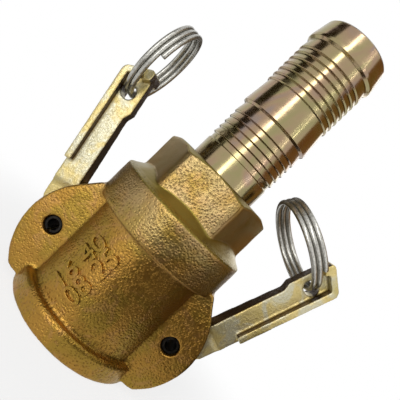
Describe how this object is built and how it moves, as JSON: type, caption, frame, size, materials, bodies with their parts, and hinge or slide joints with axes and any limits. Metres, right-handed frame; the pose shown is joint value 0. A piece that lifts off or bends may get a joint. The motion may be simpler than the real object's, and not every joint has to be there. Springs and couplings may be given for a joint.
{
  "type": "camlock coupling",
  "caption": "Female camlock socket with hinged cam levers, split pull rings, a spanner hexagon and a screwed barbed hose tail.",
  "frame": {"origin": "centre of the socket's mouth face, on the flow axis", "axes": "+Z along the flow axis from the socket's mouth to the hose tail, +Y along the pivot pins, +X towards the right lever"},
  "size_m": [0.1001, 0.0508, 0.1305],
  "materials": {
    "forged_body": "forged steel with a rough grain, yellow zinc plated",
    "turned_tail": "turned steel, glossy yellow zinc plating with a rainbow tint",
    "plated_lever": "forged steel, pale yellow zinc plated",
    "ring_steel": "drawn round wire, plain bright steel",
    "spring_steel": "rolled spring steel, dark oiled",
    "gasket_rubber": "moulded black nitrile rubber",
    "seal_rubber": "flat black rubber washer"
  },
  "bodies": {
    "coupler": {"coupler_body": "forged_body", "socket_gasket": "gasket_rubber", "thread_seal": "seal_rubber", "hose_tail": "turned_tail", "pivot_pin_left": "spring_steel", "pivot_pin_right": "spring_steel"},
    "lever_left": {"cam_lever_left": "plated_lever"},
    "lever_right": {"cam_lever_right": "plated_lever"},
    "ring_left": {"pull_ring_left": "ring_steel"},
    "ring_right": {"pull_ring_right": "ring_steel"}
  },
  "joints": [
    {"name": "lever_left_hinge", "type": "hinge", "parent": "coupler", "child": "lever_left", "pos_m": [-0.0263, 0, 0.0206], "axis": [0, -1, 0], "range_deg": [0, 87]},
    {"name": "lever_right_hinge", "type": "hinge", "parent": "coupler", "child": "lever_right", "pos_m": [0.0263, 0, 0.0206], "axis": [0, 1, 0], "range_deg": [-5.8, 81.2]},
    {"name": "ring_left_swing", "type": "hinge", "parent": "lever_left", "child": "ring_left", "pos_m": [-0.04156, 0, 0.06624], "axis": [0, -1, 0], "range_deg": [-59.9, 31.3]},
    {"name": "ring_right_swing", "type": "hinge", "parent": "lever_right", "child": "ring_right", "pos_m": [0.04609, 0, 0.06446], "axis": [0, 1, 0], "range_deg": [0, 70]}
  ]
}
